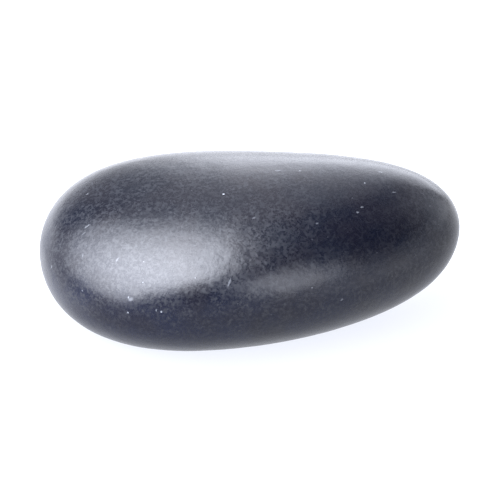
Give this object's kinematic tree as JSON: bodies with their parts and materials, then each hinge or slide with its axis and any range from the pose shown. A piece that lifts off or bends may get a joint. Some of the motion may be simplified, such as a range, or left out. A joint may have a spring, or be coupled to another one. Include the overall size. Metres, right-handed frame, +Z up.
{
  "type": "river pebble",
  "caption": "Smooth, dark, egg-shaped natural stone, narrower at one end, that lies on a flat worn into its underside.",
  "frame": {"origin": "on the surface that the stone rests on, below the middle of its bounding box", "axes": "+X along the stone from its blunt end to its narrow end, +Z up, +Y to the side that faces away in the front view"},
  "size_m": [0.07, 0.042, 0.026],
  "materials": {
    "stone": "satin"
  },
  "bodies": {
    "root": {"pebble": "stone"}
  },
  "joints": []
}
